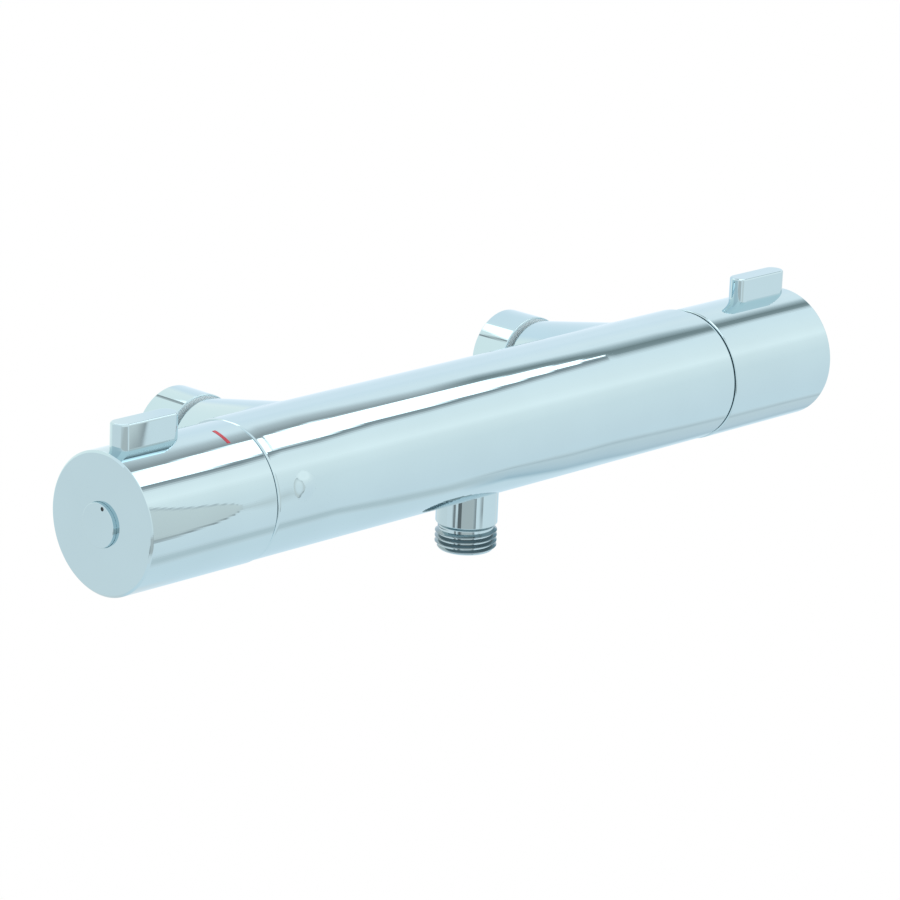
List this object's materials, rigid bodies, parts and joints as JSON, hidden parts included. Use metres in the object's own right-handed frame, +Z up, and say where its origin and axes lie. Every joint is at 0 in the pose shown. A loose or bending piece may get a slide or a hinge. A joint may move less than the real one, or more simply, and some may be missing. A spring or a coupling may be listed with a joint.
{
  "type": "wall mounted thermostatic shower valve",
  "caption": "Exposed chrome bar valve with a temperature knob and a flow knob at its ends, union nut inlets behind and a threaded hose outlet below.",
  "frame": {"origin": "midway between the two inlets, in the plane of the union nuts' mouths, where they meet the wall fittings", "axes": "+X along the bar from the temperature knob to the flow knob, +Y into the wall, +Z up; the outlet points down"},
  "size_m": [0.331, 0.0831, 0.0727],
  "materials": {
    "chrome": "polished chrome plate",
    "brass": "turned brass",
    "copper": "drawn copper",
    "steel": "stainless steel",
    "rubber": "black EPDM rubber",
    "pale_plastic": "pale engineering plastic",
    "dark_plastic": "dark engineering plastic",
    "ceramic": "lapped ceramic",
    "red": "red enamel"
  },
  "bodies": {
    "valve": {"body_casting": "chrome", "outlet_nipple": "chrome", "outlet_seal_washer": "rubber", "inlet_tail_left": "brass", "inlet_tail_right": "brass", "tail_o_ring_left": "rubber", "tail_o_ring_right": "rubber", "filter_washer_left": "rubber", "filter_washer_right": "rubber", "check_valve_cage_left": "pale_plastic", "check_valve_cage_right": "pale_plastic", "check_valve_spring_left": "steel", "check_valve_spring_right": "steel", "cartridge_sleeve": "pale_plastic", "cartridge_o_rings": "rubber", "cartridge_ring_nut": "brass", "cartridge_end_seat": "brass", "thermostat_return_spring": "steel", "temperature_stop_ring": "pale_plastic", "temperature_glide_ring": "pale_plastic", "headwork_housing": "brass", "headwork_o_ring": "rubber", "disc_lip_seal": "rubber", "ceramic_disc_fixed": "ceramic", "flow_stop_ring": "pale_plastic", "flow_glide_ring": "pale_plastic"},
    "temperature_control": {"temperature_spindle": "brass", "temperature_spindle_o_ring": "rubber", "temperature_knob": "chrome", "temperature_knob_insert": "dark_plastic", "temperature_knob_screw": "steel", "temperature_screw_cap": "chrome", "temperature_mark": "red"},
    "thermostat": {"regulating_nut": "pale_plastic", "overload_spring": "steel", "overload_plunger": "brass", "overload_retaining_ring": "steel", "wax_element": "copper", "mixing_shuttle": "pale_plastic"},
    "flow_control": {"ceramic_disc_moving": "ceramic", "flow_spindle": "brass", "flow_spindle_o_ring": "rubber", "flow_knob": "chrome", "flow_knob_insert": "dark_plastic", "flow_knob_screw": "steel", "flow_screw_cap": "chrome"},
    "nut_left": {"union_nut_left": "chrome"},
    "nut_right": {"union_nut_right": "chrome"},
    "poppet_left": {"check_valve_poppet_left": "dark_plastic"},
    "poppet_right": {"check_valve_poppet_right": "dark_plastic"}
  },
  "joints": [
    {"name": "temperature_turn", "type": "hinge", "parent": "valve", "child": "temperature_control", "pos_m": [-0.13, -0.06, 0], "axis": [-1, 0, 0], "range_deg": [-210, 60]},
    {"name": "thermostat_slide", "type": "slide", "parent": "valve", "child": "thermostat", "axis": [-1, 0, 0], "range_m": [-0.00035, 0.0013], "deforming": ["thermostat_return_spring"]},
    {"name": "flow_turn", "type": "hinge", "parent": "valve", "child": "flow_control", "pos_m": [0.13, -0.06, 0], "axis": [1, 0, 0], "range_deg": [0, 90]},
    {"name": "nut_left_turn", "type": "hinge", "parent": "valve", "child": "nut_left", "pos_m": [-0.08, -0.007, 0], "axis": [0, 1, 0], "continuous": true},
    {"name": "nut_right_turn", "type": "hinge", "parent": "valve", "child": "nut_right", "pos_m": [0.08, -0.007, 0], "axis": [0, 1, 0], "continuous": true},
    {"name": "check_left", "type": "slide", "parent": "valve", "child": "poppet_left", "axis": [0, -1, 0], "range_m": [0, 0.003], "stiffness_N_per_m": 60, "springref_m": -0.002, "deforming": ["check_valve_spring_left"]},
    {"name": "check_right", "type": "slide", "parent": "valve", "child": "poppet_right", "axis": [0, -1, 0], "range_m": [0, 0.003], "stiffness_N_per_m": 60, "springref_m": -0.002, "deforming": ["check_valve_spring_right"]}
  ],
  "couplings": [
    {"joint": "thermostat_slide", "follows": "temperature_turn", "m_per_rad": -0.00031831}
  ]
}
